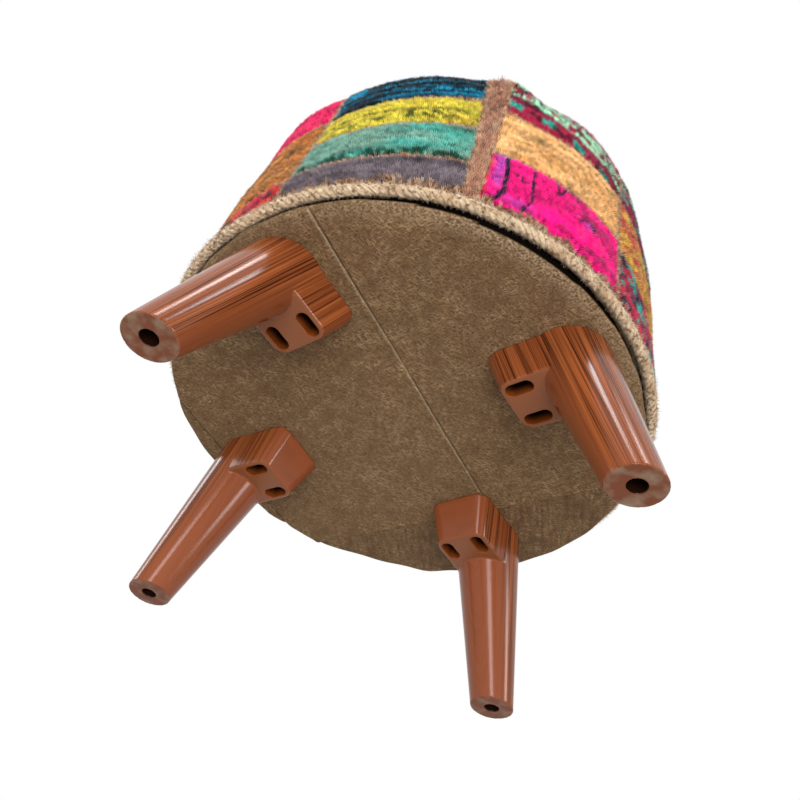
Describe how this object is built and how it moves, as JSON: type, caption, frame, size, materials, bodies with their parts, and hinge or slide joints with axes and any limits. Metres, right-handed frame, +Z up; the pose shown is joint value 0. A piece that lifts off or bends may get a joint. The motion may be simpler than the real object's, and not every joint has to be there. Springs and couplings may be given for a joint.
{
  "type": "carpet pouf",
  "caption": "Round upholstered pouf with a patchwork carpet cover, rope rim and velvet base on splayed wood-grain plastic legs.",
  "frame": {"origin": "middle of the pouf's footprint, on the floor that the feet stand on", "axes": "+Z up along the drum's axis, -Y towards the front, where the cover's closing band is"},
  "size_m": [0.4377, 0.4379, 0.4238],
  "materials": {
    "moulded_leg": "printed wood grain under gloss",
    "screw": "zinc plated",
    "board": "raw board",
    "pine": "sawn",
    "hardboard": "raw sheet",
    "velvet": "short pile",
    "jute": "laid rope",
    "band": "worn pile",
    "foam": "open cell",
    "carpet": "dyed wool pile"
  },
  "bodies": {
    "root": {"leg_front_left": "moulded_leg", "leg_front_right": "moulded_leg", "leg_back_right": "moulded_leg", "leg_back_left": "moulded_leg", "leg_screw_front_left_a": "screw", "leg_screw_front_left_b": "screw", "leg_screw_front_right_a": "screw", "leg_screw_front_right_b": "screw", "leg_screw_back_right_a": "screw", "leg_screw_back_right_b": "screw", "leg_screw_back_left_a": "screw", "leg_screw_back_left_b": "screw", "base_board": "board", "drum_floor": "board", "seat_board": "board", "frame_post_1": "pine", "frame_post_2": "pine", "frame_post_3": "pine", "frame_post_4": "pine", "frame_post_5": "pine", "frame_post_6": "pine", "drum_wall": "hardboard", "base_cloth_back": "velvet", "base_cloth_corner": "velvet", "base_cloth_left": "velvet", "base_cloth_right": "velvet", "rim_rope": "jute", "closing_band": "band", "side_foam": "foam", "seat_foam": "foam", "side_carpet_1": "carpet", "side_carpet_2": "carpet", "side_carpet_3": "carpet", "side_carpet_4": "carpet", "side_carpet_5": "carpet", "side_carpet_6": "carpet", "side_carpet_7": "carpet", "side_carpet_8": "carpet", "side_carpet_9": "carpet", "top_carpet_left": "carpet", "top_carpet_middle": "carpet", "top_carpet_right": "carpet"}
  },
  "joints": []
}
